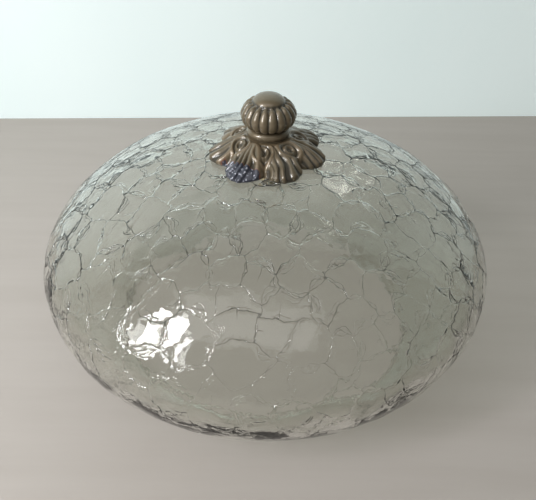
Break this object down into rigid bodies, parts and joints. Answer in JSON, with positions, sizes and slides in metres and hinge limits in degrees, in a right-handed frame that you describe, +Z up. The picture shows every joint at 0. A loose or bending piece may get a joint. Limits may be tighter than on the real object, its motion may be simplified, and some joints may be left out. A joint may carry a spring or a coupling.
{
  "type": "ceiling light shade",
  "caption": "Flattened crackle-glass ceiling light shade standing on its open rim, with a cast ribbed finial knob and lobed rosette clamped through its crown.",
  "frame": {"origin": "centre of the ground rim that the shade stands on", "axes": "+Z up through the crown hole to the finial, +X to the right and -Y to the front as it stands on a table"},
  "size_m": [0.3, 0.3, 0.1774],
  "materials": {
    "crackle_glass": "clear, crackled outside",
    "aged_bronze": "dark patina under lacquer",
    "plain_brass": "machined",
    "zinc_steel": "zinc plated",
    "black_rubber": "matt",
    "white_nylon": "moulded"
  },
  "bodies": {
    "shade": {"glass_shade": "crackle_glass", "hole_sleeve": "white_nylon", "outer_gasket": "black_rubber", "neck_ring": "aged_bronze"},
    "rosette_plate": {"rosette": "aged_bronze"},
    "knob": {"finial_knob": "aged_bronze"},
    "stud": {"threaded_stud": "plain_brass"},
    "clamp_gasket": {"inner_gasket": "black_rubber"},
    "clamp_nut": {"inner_washer": "zinc_steel", "lock_washer": "zinc_steel", "lock_nut": "plain_brass"}
  },
  "joints": [
    {"name": "rosette_turn", "type": "hinge", "parent": "shade", "child": "rosette_plate", "pos_m": [0, 0, 0.149], "axis": [0, 0, 1], "continuous": true},
    {"name": "knob_turn", "type": "hinge", "parent": "shade", "child": "knob", "pos_m": [0, 0, 0.165], "axis": [0, 0, 1], "range_deg": [0, 4320]},
    {"name": "stud_drop", "type": "slide", "parent": "shade", "child": "stud", "axis": [0, 0, -1], "range_m": [0, 0.0121]},
    {"name": "clamp_drop", "type": "slide", "parent": "stud", "child": "clamp_gasket", "axis": [0, 0, -1], "range_m": [0, 0.0081]},
    {"name": "nut_turn", "type": "hinge", "parent": "clamp_gasket", "child": "clamp_nut", "pos_m": [0, 0, 0.128], "axis": [0, 0, 1], "range_deg": [0, 2880]}
  ],
  "couplings": [
    {"joint": "stud_drop", "follows": "knob_turn", "m_per_rad": 0.00015915},
    {"joint": "clamp_drop", "follows": "nut_turn", "m_per_rad": 0.00015915}
  ]
}
